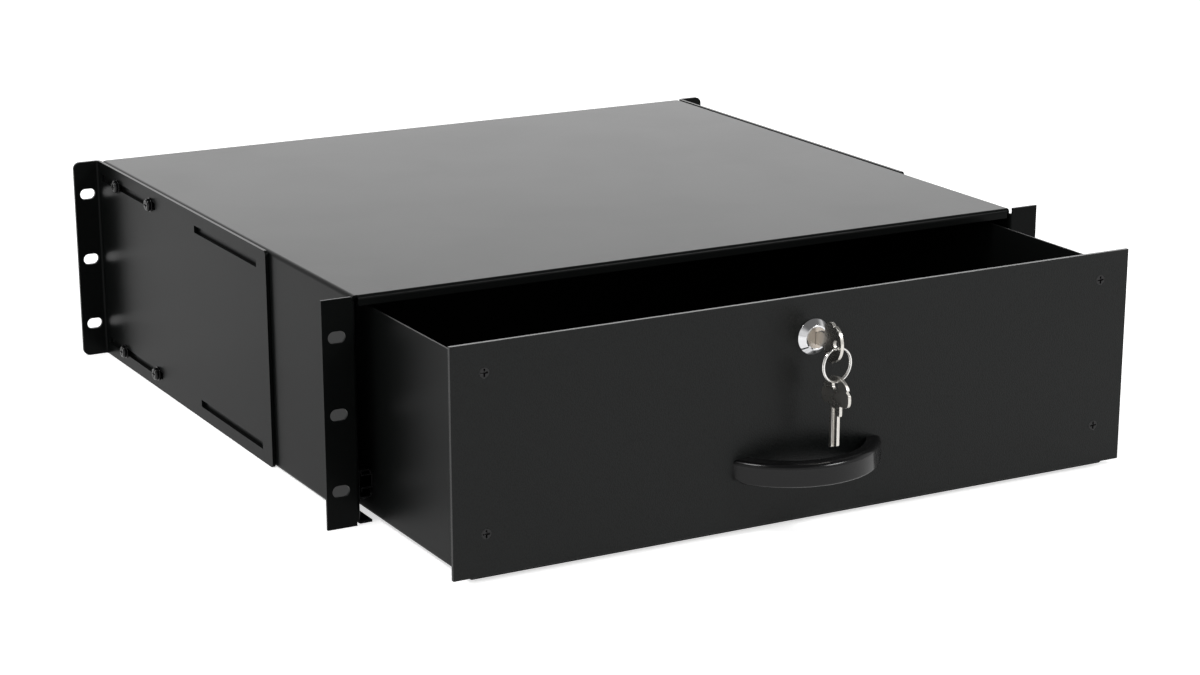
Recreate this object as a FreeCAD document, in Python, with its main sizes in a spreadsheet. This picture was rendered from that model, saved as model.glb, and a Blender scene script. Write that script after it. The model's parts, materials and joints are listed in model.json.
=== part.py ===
"""Sliding drawer for a 19-inch rack, three units high, with a keyed cam lock.

A folded steel housing carries a steel drawer on two ball runners.  Two rear brackets
slide along the housing to reach the back rails of racks of different depths.

Frame, in millimetres: X to the right, Y towards the back of the rack, Z up.  The origin
is the middle of the six front rack slots, on the front face of the housing's ears.
The drawer is modelled pulled out by Size.opening.
"""
import FreeCAD
import Part
import Sketcher
import math
import os
import re

doc = FreeCAD.newDocument("rack_drawer")

# ---------------------------------------------------------------- sizes

SIZES = {
    # Rack panel standard
    "panel_height": 132.5,          # three units less the gap to the next panel
    "rack_unit": 44.45,             # pitch of the rack slots
    "rack_span": 465.1,             # between the two columns of slots
    "ear_margin": 8.75,             # slots' middle to the end of an ear
    "rack_slot_length": 10.5,       # end to end, along X
    "rack_slot_width": 7.0,         # height of a slot
    # Housing
    "wall_margin": 10.3,            # slots' middle to the outside of a side wall
    "case_depth": 410.0,            # ears' front face to the back edge
    "case_sheet": 1.5,              # sheet thickness
    "case_bend": 1.0,               # inside radius of a fold
    "lip_width": 9.25,              # bottom lips, from the outside of the wall
    "front_turn": 5.75,             # top panel's front edge, turned down
    "rear_turn": 14.0,              # top panel's back edge, turned down
    "fold_relief": 0.9,             # gap between two folds at a corner
    # Rear brackets
    "bracket_sheet": 2.0,           # sheet thickness
    "bracket_bend": 1.5,            # inside radius of the ear's fold
    "bracket_gap": 0.3,             # between housing and bracket
    "bracket_stand": 1.3,           # bracket ears' back face behind the housing
    "bracket_length": 291.5,        # bracket plate, with its ear
    "ear_corner": 4.5,              # rounding of the bracket ears
    "plate_corner": 2.5,            # rounding of the plate's front corners
    "clamp_slot_length": 100.0,     # end to end
    "clamp_slot_width": 4.6,        # for M4 screws
    "clamp_slot_edge": 10.25,       # slot's middle from the plate's edge
    "front_slot_setback": 14.5,     # front slot from the plate's front edge
    "rear_slot_setback": 183.2,     # rear slot from the plate's front edge
    "clamp_setback": 8.0,           # first clamp screw from the rear slot's front end
    "clamp_pitch": 61.0,            # between the clamp screws of a slot
    # Drawer
    "opening": 114.0,               # how far the drawer stands open
    "shut_gap": 0.3,                # face to ears when shut
    "face_margin": 2.05,            # face's end to the plane of the housing's wall
    "face_drop": 0.5,               # face's upper edge below the housing's
    "face_lift": 3.6,               # face's lower edge above the housing's
    "face_sheet": 2.5,              # face thickness
    "face_edge": 0.35,              # rounding of the face's front edges
    "side_gap": 10.75,              # housing wall to drawer wall, filled by the runner
    "tray_sheet": 1.2,              # sheet thickness
    "tray_bend": 0.8,               # inside radius of a fold
    "tray_lift": 1.9,               # drawer's underside above the housing's
    "tray_drop": 8.5,               # drawer's upper edge below the housing's
    "tray_room": 33.0,              # behind the drawer's back when it is shut flush
    "weld_relief": 0.4,             # back wall's lower corners to the folds
    "angle_width": 15.0,            # each leg of the angles that carry the face
    "angle_foot": 3.0,              # start of those angles above the drawer's floor
    # Runners
    "runner_height": 17.0,          # case member
    "runner_lift": 23.0,            # middle of the runner above the housing's underside
    "runner_sheet": 1.0,            # both members
    "runner_round": 1.5,            # case member's corners at the wall
    "hook_round": 2.0,              # case member's corners beside the drawer
    "case_hook": 1.1,               # case member's lips, past the lower race
    "slider_hook": 0.5,             # drawer member's lips, past the balls' middles
    "runner_depth": 8.4,            # case member, across
    "runner_setback": 3.0,          # case member behind the ears
    "runner_room": 37.0,            # case member's end to the housing's back edge
    "slider_length": 245.0,         # drawer member
    "slider_room": 11.0,            # drawer member's end to the drawer's back
    "ball_radius": 1.6,             # runner balls
    "ball_play": 0.02,              # ball to race
    "ball_pitch": 20.0,             # between balls of a row
    "ball_row": 5,                  # balls in a row
    "notch_play": 0.06,             # ball to its notch in the cage
    "cage_sheet": 0.5,              # ball cage
    "cage_length": 100.0,           # ball cage
    "cage_play": 0.25,              # cage to case member
    "cage_edge": 1.0,               # cage's turned edges, short of the balls' middles
    "slider_screw_inset": 15.0,     # end screws from the ends of the drawer member
    # Fasteners
    "screw_shank": 4.0,             # M4
    "screw_head": 8.0,              # pan head, across
    "screw_head_height": 2.6,       # pan head
    "recess_span": 4.4,             # cross recess, tip to tip
    "recess_slit": 1.0,             # cross recess, width of an arm
    "recess_depth": 1.3,            # cross recess
    "nut_flats": 7.0,               # M4 nut
    "nut_height": 3.2,              # M4 nut
    "washer_width": 9.0,            # M4 washer
    "washer_sheet": 0.8,            # M4 washer
    "shank_play": 0.1,              # shank to hole, all round
    "clamp_screw_length": 10.0,     # under the head
    "slider_screw_length": 6.0,     # under the head
    "face_shank": 3.0,              # M3
    "face_head": 6.0,               # countersunk head, across
    "face_screw_length": 8.0,       # with the head
    "face_nut_flats": 5.5,          # M3 nut
    "face_nut_height": 2.4,         # M3 nut
    "face_screw_edge": 9.5,         # from the outside of the drawer's wall
    "face_screw_inset": 23.5,       # lower screws above the face's lower edge
    "face_screw_drop": 16.3,        # upper screws below the face's upper edge
    "countersink_play": 0.1,        # head to countersink
    # Handle
    "handle_width": 98.0,           # over its feet
    "handle_reach": 30.0,           # in front of the face
    "handle_height": 13.5,          # height of the bow
    "handle_bow": 8.0,              # thickness of the bow in the middle
    "handle_foot": 10.0,            # width of a foot
    "handle_lift": 37.75,           # middle of the handle above the housing's underside
    "handle_round": 2.2,            # rounding of the outer edges
    "grip_round": 1.2,              # rounding of the edges at the fingers
    "handle_screw_span": 86.0,      # between the two screws
    "handle_screw_length": 8.0,     # under the head
    # Lock
    "lock_across": 2.0,             # lock's axis to the right of the middle
    "lock_drop": 23.7,              # lock's middle below the face's upper edge
    "bezel_width": 20.5,            # at the face
    "bezel_front": 14.0,            # at its front
    "bezel_height": 4.0,            # in front of the face
    "bezel_rim": 0.8,               # straight rim at the face
    "barrel_width": 16.0,           # thread, across
    "barrel_flats": 14.0,           # across the two flats
    "barrel_length": 18.0,          # behind the face's front
    "barrel_play": 0.1,             # barrel to hole
    "lock_nut_flats": 20.0,         # across flats
    "lock_nut_height": 3.5,         # thickness
    "plug_width": 12.0,             # turning core
    "plug_play": 0.05,              # plug to barrel, all round
    "plug_stand": 0.1,              # plug's face in front of the bezel's
    "tang_width": 6.0,              # square end that carries the cam
    "tang_play": 0.05,              # tang to cam
    "cam_reach": 22.5,              # axis to tip
    "cam_width": 13.0,              # across
    "cam_sheet": 2.0,               # thickness
    "cam_gap": 0.2,                 # barrel's end to cam
    "cam_screw_length": 5.0,        # under the head
    "strike_width": 30.0,           # along X
    "strike_drop": 8.0,             # below the top panel
    "strike_play": 0.8,             # cam to strike when shut
    # Keys
    "key_sheet": 2.0,               # thickness
    "bow_radius": 11.5,             # round of the bow
    "key_reach": 22.4,              # shoulder to the outer end of the bow
    "neck_length": 5.8,             # shoulder to bow
    "neck_width": 8.5,              # between blade and bow
    "bow_corner": 3.5,              # rounding of the bow beside the neck
    "bow_nick": 1.3,                # depth of the nicks in the bow's sides
    "nick_spread": 2.0,             # a nick's half width to its depth
    "nick_place": 15.2,             # nicks from the shoulder
    "key_hole": 5.0,                # hole for the ring
    "key_hole_place": 17.3,         # hole's middle from the shoulder
    "blade_width": 6.7,             # blade
    "blade_length": 19.4,           # shoulder to tip
    "blade_point": 2.2,             # slope of the tip
    "groove_depth": 1.0,            # long groove
    "groove_width": 2.2,            # long groove
    "groove_start": 4.0,            # groove's end from the shoulder, in the neck
    "blade_play": 0.15,             # blade to keyway
    "key_stand": 3.0,               # plug to shoulder; the blade's tip stops first
    "ring_width": 19.1,             # middle of the wire
    "ring_wire": 1.1,               # wire
    "ring_lap": 1.0,                # between the two turns
    "ring_play": 0.2,               # wire to the edge of a key's hole
    "ring_turn": 8.0,               # degrees, ring turned about the vertical
    "spare_turn": 7.0,              # degrees, spare key turned about the vertical
}

# Places that follow from the sizes.
PLACES = [
    ("top", "panel_height / 2", "housing's upper face"),
    ("base", "-panel_height / 2", "housing's underside"),
    ("wall_out", "rack_span / 2 - wall_margin", "outside of a side wall"),
    ("wall_in", "wall_out - case_sheet", "inside of a side wall"),
    ("ceiling", "top - case_sheet", "underside of the top panel"),
    ("case_fold", "case_bend + case_sheet", "outside radius of a fold"),
    ("ear_root", "wall_out + case_bend", "where an ear's flat part starts"),
    ("ear_end", "rack_span / 2 + ear_margin", "end of an ear"),
    ("fold_stop", "top - case_fold - fold_relief", "upper end of the ears' folds"),
    ("turn_stop", "wall_out - case_fold - fold_relief", "end of the top panel's folds"),
    ("plate_in", "wall_out + bracket_gap", "inner face of a bracket"),
    ("plate_out", "plate_in + bracket_sheet", "outer face of a bracket"),
    ("bracket_back", "case_depth + bracket_stand", "back face of the bracket ears"),
    ("plate_front", "bracket_back - bracket_length", "front edge of a bracket"),
    ("clamp_lift", "top - clamp_slot_edge", "clamp slots above the middle"),
    ("rear_slot_front", "plate_front + rear_slot_setback", "front end of the rear slots"),
    ("clamp_first", "rear_slot_front + clamp_setback", "first clamp screws"),
    ("clamp_second", "clamp_first + clamp_pitch", "second clamp screws"),
    ("face_back", "-opening - shut_gap", "back of the face plate"),
    ("face_front", "face_back - face_sheet", "front of the face plate"),
    ("face_low", "base + face_lift", "face's lower edge"),
    ("face_high", "top - face_drop", "face's upper edge"),
    ("face_end", "wall_out - face_margin", "side edge of the face plate"),
    ("tray_out", "wall_in - side_gap", "outside of the drawer's walls"),
    ("tray_in", "tray_out - tray_sheet", "inside of the drawer's walls"),
    ("tray_low", "base + tray_lift", "drawer's underside"),
    ("tray_floor", "tray_low + tray_sheet", "upper face of the drawer's floor"),
    ("tray_high", "top - tray_drop", "upper edge of the drawer's walls"),
    ("tray_back", "face_back + case_depth - tray_room", "back of the drawer"),
    ("tray_fold", "tray_bend + tray_sheet", "outside radius of a fold"),
    ("runner_mid", "base + runner_lift", "middle of the runners"),
    ("race_out", "runner_height / 2 - runner_sheet", "upper race above the middle"),
    ("ball_lift", "race_out - ball_radius - ball_play", "ball's middle above the runner's"),
    ("race_in", "ball_lift - ball_radius - ball_play", "lower race above the middle"),
    ("ball_deep", "wall_in - runner_depth + runner_sheet + ball_radius + ball_play",
     "balls' middle along X"),
    ("slider_edge", "ball_deep + ball_radius + ball_play", "drawer member's upturned lip"),
    ("slider_end", "tray_back - slider_room", "back end of the drawer member"),
    ("slider_front", "slider_end - slider_length", "front end of the drawer member"),
    ("runner_end", "case_depth - runner_room", "back end of the case member"),
    ("cage_mid", "(runner_setback + slider_end) / 2", "middle of the cage"),
    ("cage_face", "wall_in - runner_sheet - cage_play", "cage's outer face"),
    ("cage_high", "race_out - cage_play", "cage's upper face above the middle"),
    ("hole_radius", "screw_shank / 2 + shank_play", "hole for an M4 screw"),
    ("face_hole_radius", "face_shank / 2 + shank_play", "hole for an M3 screw"),
    ("screw_low", "face_low + face_screw_inset", "lower face screws"),
    ("screw_high", "face_high - face_screw_drop", "upper face screws"),
    ("handle_mid", "base + handle_lift", "middle of the handle"),
    ("handle_curve", "(handle_width ^ 2 / 4 + handle_reach ^ 2) / (2 * handle_reach)",
     "radius of the handle's outer bow"),
    ("grip_half", "handle_width / 2 - handle_foot", "half the finger gap at the face"),
    ("grip_deep", "handle_reach - handle_bow", "depth of the finger gap"),
    ("grip_curve", "(grip_half ^ 2 + grip_deep ^ 2) / (2 * grip_deep)",
     "radius of the finger gap"),
    ("lock_mid", "face_high - lock_drop", "lock's axis"),
    ("plug_face", "face_front - bezel_height - plug_stand", "front of the plug"),
    ("barrel_end", "face_front + barrel_length", "back of the barrel"),
    ("cam_front", "barrel_end + cam_gap", "front of the cam"),
    ("cam_back", "cam_front + cam_sheet", "back of the cam"),
    ("strike_back", "cam_front + opening - strike_play", "back of the strike's leg"),
    ("bow_mid", "key_reach - bow_radius", "middle of the bow from the shoulder"),
    ("key_axis", "(neck_width - blade_width) / 2", "bow's axis above the blade's"),
    ("wire_drop", "key_hole / 2 - ring_wire / 2 - ring_play",
     "ring's wire from the middle of a key's hole"),
    ("key_front", "plug_face - key_stand", "shoulder of the key in the lock"),
    ("hang_deep", "key_front - key_hole_place", "ring's place along Y"),
    ("hang_high", "lock_mid + key_axis - wire_drop", "ring's wire in the upper key"),
    ("ring_mid", "hang_high - ring_width / 2", "middle of the ring"),
    ("hang_low", "ring_mid - ring_width / 2", "ring's wire in the spare key"),
    ("spare_mid", "hang_low - wire_drop - key_hole_place", "spare key's shoulder"),
]

size = doc.addObject("Spreadsheet::Sheet", "Size")
place = doc.addObject("Spreadsheet::Sheet", "Place")
HOME = {}


def bound(formula):
    """The formula with each name led by the sheet that holds it."""
    def with_sheet(match):
        name = match.group()
        return f"{HOME[name]}.{name}" if name in HOME else name
    return re.sub(r"[a-z][a-z_]*", with_sheet, str(formula))


def value(formula):
    """What a formula comes to, in millimetres."""
    return float(size.evalExpression(bound(formula)))


def fill_sheets():
    """Write the driving sizes, and then the places worked out from them."""
    for row, (name, number) in enumerate(SIZES.items(), start=1):
        size.set(f"A{row}", name)
        size.set(f"B{row}", str(number))
        size.setAlias(f"B{row}", name)
        HOME[name] = "Size"
    doc.recompute()
    for row, (name, formula, note) in enumerate(PLACES, start=1):
        place.set(f"A{row}", name)
        place.set(f"B{row}", "=" + bound(formula).replace("Place.", ""))
        place.setAlias(f"B{row}", name)
        place.set(f"C{row}", note)
        HOME[name] = "Place"
        doc.recompute()


fill_sheets()

# ---------------------------------------------------------------- drawing helpers

NODES = {}
TOLERANCE = 1e-4


def node(thing, label):
    """Enter a finished sub-part under the name of its file."""
    thing.Label = label
    NODES[label] = thing
    return thing


def new_body(name, low=None):
    """An empty body; low gives formulas for its place, when it isn't built in place."""
    body = doc.addObject("PartDesign::Body", name)
    for axis, formula in (low or {}).items():
        body.setExpression(f"Placement.Base.{axis}", bound(formula))
    return body


def fix(sketch, element, point, where):
    """Tie a point of the sketch to a pair of formulas; None leaves a direction free."""
    for kind, formula in zip(("DistanceX", "DistanceY"), where):
        if formula is None:
            continue
        index = sketch.addConstraint(Sketcher.Constraint(kind, element, point, value(formula)))
        sketch.setExpression(f"Constraints[{index}]", bound(formula))


def fix_radius(sketch, element, formula):
    index = sketch.addConstraint(Sketcher.Constraint("Radius", element, value(formula)))
    sketch.setExpression(f"Constraints[{index}]", bound(formula))


def point(where):
    return FreeCAD.Vector(value(where[0]), value(where[1]), 0)


def line(sketch, start, end):
    element = sketch.addGeometry(Part.LineSegment(point(start), point(end)))
    fix(sketch, element, 1, start)
    fix(sketch, element, 2, end)


def arc(sketch, start, end, radius, middle):
    """An arc from start to end, counter-clockwise about the middle."""
    centre = point(middle)
    spokes = [point(where) - centre for where in (start, end)]
    angles = [math.atan2(spoke.y, spoke.x) for spoke in spokes]
    circle = Part.Circle(centre, FreeCAD.Vector(0, 0, 1), value(radius))
    element = sketch.addGeometry(Part.ArcOfCircle(circle, *angles))
    fix(sketch, element, 3, middle)
    fix_radius(sketch, element, radius)
    # Each end is held by the coordinate that changes as it moves round the circle.
    for number, (where, spoke) in enumerate(zip((start, end), spokes), start=1):
        if abs(spoke.y) > abs(spoke.x):
            fix(sketch, element, number, (where[0], None))
        else:
            fix(sketch, element, number, (None, where[1]))


def ring(*corners):
    """A loop of straight runs; a corner's third formula rounds it, between runs along the axes."""
    def step(start, end):
        run = point(end) - point(start)
        return [round(run.x / run.Length, 9), round(run.y / run.Length, 9)]

    def moved(corner, direction, sign):
        if len(corner) < 3:
            return corner[:2]
        return tuple(f"{axis} + {sign * part:g} * ({corner[2]})" if part else axis
                     for axis, part in zip(corner, direction))

    def draw(sketch):
        count = len(corners)
        for index, corner in enumerate(corners):
            before, after = corners[index - 1], corners[(index + 1) % count]
            came, goes = step(before, corner), step(corner, after)
            run = moved(corner, goes, 1), moved(after, goes, -1)
            if (point(run[1]) - point(run[0])).Length > TOLERANCE:
                line(sketch, *run)
            if len(corner) == 3:
                start, end = moved(corner, came, -1), moved(corner, goes, 1)
                middle = tuple(f"{axis} + {goes[i] - came[i]:g} * ({corner[2]})"
                               for i, axis in enumerate(corner[:2]))
                if came[0] * goes[1] - came[1] * goes[0] < 0:
                    start, end = end, start
                arc(sketch, start, end, corner[2], middle)
    return draw


def disc(across, along, radius):
    def draw(sketch):
        circle = Part.Circle(point((across, along)), FreeCAD.Vector(0, 0, 1), value(radius))
        element = sketch.addGeometry(circle)
        fix(sketch, element, 3, (across, along))
        fix_radius(sketch, element, radius)
    return draw


def slot(across, along, length, width):
    """A slot with round ends, lying along the sketch's first axis."""
    def draw(sketch):
        half = f"({length}) / 2 - ({width}) / 2"
        left, right = f"{across} - ({half})", f"{across} + ({half})"
        low, high = f"{along} - ({width}) / 2", f"{along} + ({width}) / 2"
        line(sketch, (left, low), (right, low))
        line(sketch, (right, high), (left, high))
        arc(sketch, (right, low), (right, high), f"({width}) / 2", (right, along))
        arc(sketch, (left, high), (left, low), f"({width}) / 2", (left, along))
    return draw


def box(left, low, right, high):
    return ring((left, low), (right, low), (right, high), (left, high))


# For each direction: the plane to draw on, and the sign of the plane's own normal.
PLANES = {"x": ("YZ_Plane", 1), "y": ("XZ_Plane", -1), "z": ("XY_Plane", 1)}


def new_sketch(body, name, direction, offset, loops):
    role, sign = PLANES[direction]
    plane = next(each for each in body.Origin.OriginFeatures if each.Role == role)
    sketch = body.newObject("Sketcher::SketchObject", name + "_sketch")
    sketch.AttachmentSupport = [(plane, "")]
    sketch.MapMode = "FlatFace"
    sketch.setExpression("AttachmentOffset.Base.z", bound(f"{sign} * ({offset})"))
    for draw in loops:
        draw(sketch)
    return sketch


def extrude(kind, body, name, direction, low, high, loops):
    sign = PLANES[direction][1]
    start = low if (kind == "Pad") == (sign > 0) else high
    sketch = new_sketch(body, name, direction, start, loops)
    feature = body.newObject("PartDesign::" + kind, name)
    feature.Profile = sketch
    feature.setExpression("Length", bound(f"({high}) - ({low})"))
    doc.recompute()
    return feature


def add(body, name, direction, low, high, *loops):
    """Add what the loops enclose, from low to high along the direction."""
    return extrude("Pad", body, name, direction, low, high, loops)


def cut(body, name, direction, low, high, *loops):
    """Take away what the loops enclose, and make sure that something went."""
    before = body.Shape.Volume
    feature = extrude("Pocket", body, name, direction, low, high, loops)
    if not body.Shape.Volume < before:
        raise RuntimeError(f"{body.Name}: {name} cuts nothing")
    return feature


def turn(body, name, *loops):
    """Turn a profile about the body's own Y axis; its first coordinate is the radius."""
    sketch = new_sketch(body, name, "z", "0", loops)
    feature = body.newObject("PartDesign::Revolution", name)
    feature.Profile = sketch
    feature.ReferenceAxis = (sketch, ["V_Axis"])
    feature.Angle = 360
    doc.recompute()
    return feature


def dress(body, kind, name, amount, chosen):
    """Fillet or chamfer the edges of the body that the test chooses."""
    base = body.Tip
    names = [f"Edge{i}" for i, edge in enumerate(base.Shape.Edges, start=1) if chosen(edge)]
    if not names:
        raise RuntimeError(f"{body.Name}: {name} has no edges")
    feature = body.newObject("PartDesign::" + kind, name)
    feature.Base = (base, names)
    feature.setExpression("Radius" if kind == "Fillet" else "Size", bound(amount))
    doc.recompute()
    return feature


def near(edge, **where):
    """Whether the whole edge lies at the given places along the named axes."""
    bounds = edge.BoundBox
    return all(abs(getattr(bounds, f"{axis.upper()}{end}") - value(formula)) < TOLERANCE
               for axis, formula in where.items() for end in ("Min", "Max"))


def level(edge):
    """Whether the edge runs without rising."""
    return edge.BoundBox.ZLength < TOLERANCE


def mirrored(source, label):
    """The same piece for the left-hand side."""
    twin = doc.addObject("Part::Mirroring", label)
    twin.Source = source
    twin.Normal = (1, 0, 0)
    return node(twin, label)


def copies(label, master, turned, *places):
    """One node of separate solids: the master, turned about Z and put at each place."""
    links = []
    for number, where in enumerate(places, start=1):
        link = doc.addObject("App::Link", f"{label}_{number}")
        link.LinkedObject = master
        link.Placement.Rotation = FreeCAD.Rotation(FreeCAD.Vector(0, 0, 1), turned)
        for axis, formula in zip("xyz", where):
            link.setExpression(f"Placement.Base.{axis}", bound(formula))
        links.append(link)
    compound = doc.addObject("Part::Compound", label)
    compound.Links = links
    return node(compound, label)


# ---------------------------------------------------------------- fasteners

def cross(body, top):
    """Cut the cross recess into a head whose top lies at the given place along Y."""
    arm, slit = "recess_span / 2", "recess_slit / 2"
    corners = [(slit, arm), (slit, slit), (arm, slit)]
    loop = []
    for sign_x, sign_z in ((1, 1), (1, -1), (-1, -1), (-1, 1)):
        quarter = [(f"{sign_x} * {x}", f"{sign_z} * {z}") for x, z in corners]
        loop += quarter if sign_x * sign_z > 0 else quarter[::-1]
    cut(body, "recess", "y", top, f"{top} + recess_depth", ring(*loop))


def pan_screw(name, length):
    """A pan head screw along Y: the head stands in front of 0, the shank runs behind it."""
    body = new_body(name)
    turn(body, "profile", ring(
        ("0", "-screw_head_height"),
        ("screw_head / 2", "-screw_head_height", "screw_head_height / 2"),
        ("screw_head / 2", "0"), ("screw_shank / 2", "0"),
        ("screw_shank / 2", length), ("0", length)))
    cross(body, "-screw_head_height")
    return body


def flat_screw(name):
    """A countersunk screw along Y, its head flush with 0."""
    body = new_body(name)
    turn(body, "profile", ring(
        ("0", "0"), ("face_head / 2", "0"),
        ("face_shank / 2", "(face_head - face_shank) / 2"),
        ("face_shank / 2", "face_screw_length"), ("0", "face_screw_length")))
    cross(body, "0")
    return body


def hexagon(flats):
    """Six corners, with two flats level."""
    corner, half = f"({flats}) / sqrt(3)", f"({flats}) / 2"
    return ring((corner, "0"), (f"{corner} / 2", half), (f"-{corner} / 2", half),
                (f"-{corner}", "0"), (f"-{corner} / 2", f"-{half}"),
                (f"{corner} / 2", f"-{half}"))


def nut(name, flats, height, radius):
    body = new_body(name)
    add(body, "profile", "y", "0", height, hexagon(flats), disc("0", "0", radius))
    return body


def washer(name):
    body = new_body(name)
    add(body, "profile", "y", "0", "washer_sheet",
        disc("0", "0", "washer_width / 2"), disc("0", "0", "hole_radius"))
    return body


clamp_screw = pan_screw("clamp_screw", "clamp_screw_length")
slider_screw = pan_screw("slider_screw", "slider_screw_length")
handle_screw = pan_screw("handle_screw", "handle_screw_length")
short_screw = pan_screw("short_screw", "cam_screw_length")
face_screw = flat_screw("face_screw")
m4_nut = nut("m4_nut", "nut_flats", "nut_height", "hole_radius")
m3_nut = nut("m3_nut", "face_nut_flats", "face_nut_height", "face_hole_radius")
m4_washer = washer("m4_washer")

# ---------------------------------------------------------------- housing

BOTH_SIDES = (1, -1)
RACK_ROWS = ("-rack_unit", "0", "rack_unit")
CLAMP_PLACES = [(along, f"{sign} * clamp_lift")
                for sign in BOTH_SIDES for along in ("clamp_first", "clamp_second")]


def housing_shell():
    """One folded sheet: top, two walls, two bottom lips, two ears and the turned edges."""
    body = new_body("housing_shell")
    lip_in = "(wall_out - lip_width)"
    add(body, "channel", "y", "case_fold", "case_depth - case_fold", ring(
        (f"-{lip_in}", "base"), ("-wall_out", "base", "case_fold"),
        ("-wall_out", "top", "case_fold"), ("wall_out", "top", "case_fold"),
        ("wall_out", "base", "case_fold"), (lip_in, "base"),
        (lip_in, "base + case_sheet"), ("wall_in", "base + case_sheet", "case_bend"),
        ("wall_in", "ceiling", "case_bend"), ("-wall_in", "ceiling", "case_bend"),
        ("-wall_in", "base + case_sheet", "case_bend"), (f"-{lip_in}", "base + case_sheet")))
    for name, edge, inward, drop in (("front", "0", 1, "front_turn"),
                                     ("rear", "case_depth", -1, "rear_turn")):
        start = f"{edge} + {inward} * case_fold"
        inner = f"{edge} + {inward} * case_sheet"
        add(body, name + "_turn", "x", "-turn_stop", "turn_stop", ring(
            (start, "top"), (edge, "top", "case_fold"), (edge, f"top - {drop}"),
            (inner, f"top - {drop}"), (inner, "ceiling", "case_bend"), (start, "ceiling")))
    for name, side in (("right", 1), ("left", -1)):
        add(body, name + "_fold", "z", "-fold_stop", "fold_stop", ring(
            (f"{side} * wall_in", "case_fold"), (f"{side} * wall_in", "0", "case_fold"),
            (f"{side} * ear_root", "0"), (f"{side} * ear_root", "case_sheet"),
            (f"{side} * wall_out", "case_sheet", "case_bend"),
            (f"{side} * wall_out", "case_fold")))
        low, high = sorted((f"{side} * ear_root", f"{side} * ear_end"), key=value)
        add(body, name + "_ear", "y", "0", "case_sheet", box(low, "base", high, "top"))
    cut(body, "rack_slots", "y", "0", "case_sheet", *[
        slot(f"{side} * rack_span / 2", row, "rack_slot_length", "rack_slot_width")
        for side in BOTH_SIDES for row in RACK_ROWS])
    cut(body, "clamp_holes", "x", "-wall_out", "wall_out",
        *[disc(along, up, "hole_radius") for along, up in CLAMP_PLACES])
    return node(body, "housing_shell")


def lock_strike():
    """The angle, welded under the top panel, that the cam catches behind."""
    body = new_body("lock_strike")
    foot = "(ceiling - case_sheet)"
    add(body, "angle", "x", "lock_across - strike_width / 2",
        "lock_across + strike_width / 2", ring(
        ("case_fold + case_bend", "ceiling"), ("strike_back", "ceiling", "case_fold"),
        ("strike_back", "ceiling - strike_drop"),
        ("strike_back - case_sheet", "ceiling - strike_drop"),
        ("strike_back - case_sheet", foot, "case_bend"),
        ("case_fold + case_bend", foot)))
    return node(body, "lock_strike")


def rear_bracket():
    """The right-hand bracket: a plate beside the housing, with an ear folded outwards."""
    body = new_body("rear_bracket_right")
    ear_front = "(bracket_back - bracket_sheet)"
    add(body, "folded", "z", "base", "top", ring(
        ("plate_in", "plate_front"), ("plate_out", "plate_front"),
        ("plate_out", ear_front, "bracket_bend"), ("ear_end", ear_front),
        ("ear_end", "bracket_back"),
        ("plate_in", "bracket_back", "bracket_bend + bracket_sheet")))
    dress(body, "Fillet", "ear_corners", "ear_corner",
          lambda edge: near(edge, x="ear_end") and level(edge))
    dress(body, "Fillet", "plate_corners", "plate_corner",
          lambda edge: near(edge, y="plate_front") and level(edge))
    cut(body, "rack_slots", "y", ear_front, "bracket_back", *[
        slot("rack_span / 2", row, "rack_slot_length", "rack_slot_width")
        for row in RACK_ROWS])
    cut(body, "clamp_slots", "x", "plate_in", "plate_out", *[
        box(f"plate_front + {setback}", f"{side} * clamp_lift - clamp_slot_width / 2",
            f"plate_front + {setback} + clamp_slot_length",
            f"{side} * clamp_lift + clamp_slot_width / 2")
        for side in BOTH_SIDES for setback in ("front_slot_setback", "rear_slot_setback")])
    return node(body, "rear_bracket_right")


def clamp_fasteners():
    """Four screws, washers and nuts that hold each bracket to its wall."""
    stacks = (("clamp_screws", clamp_screw, "plate_out + washer_sheet"),
              ("clamp_washers", m4_washer, "plate_out + washer_sheet"),
              ("clamp_nuts", m4_nut, "wall_in"))
    for name, master, out in stacks:
        right = copies(name + "_right", master, 90,
                       *[(out, along, up) for along, up in CLAMP_PLACES])
        mirrored(right, name + "_left")


housing_shell()
lock_strike()
mirrored(rear_bracket(), "rear_bracket_left")
clamp_fasteners()

# ---------------------------------------------------------------- runners

SLIDER_SCREWS = ("slider_front + slider_screw_inset", "(slider_front + slider_end) / 2",
                 "slider_end - slider_screw_inset")
BALL_PLACES = [f"cage_mid + ({number} - (ball_row - 1) / 2) * ball_pitch"
               for number in range(int(value("ball_row")))]


def case_runner():
    """The member on the housing's wall: a channel whose lips keep the balls in."""
    body = new_body("case_runner_right")
    half, reach = "runner_height / 2", "(wall_in - runner_depth)"
    lip, floor = "(race_in + case_hook)", "(wall_in - runner_sheet)"
    loop = [("wall_in", f"runner_mid - {half}", "runner_round"),
            ("wall_in", f"runner_mid + {half}", "runner_round")]
    upper = [(reach, f"runner_mid + {half}", "hook_round"),
             (reach, f"runner_mid + {lip}"),
             (f"{reach} + runner_sheet", f"runner_mid + {lip}"),
             (f"{reach} + runner_sheet", "runner_mid + race_out", "hook_round - runner_sheet"),
             (floor, "runner_mid + race_out", "runner_round - runner_sheet")]
    lower = [(corner[0], corner[1].replace("+", "-", 1), *corner[2:])
             for corner in reversed(upper)]
    add(body, "channel", "y", "runner_setback", "runner_end",
        ring(*loop, *upper, *lower))
    return node(body, "case_runner_right")


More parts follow.
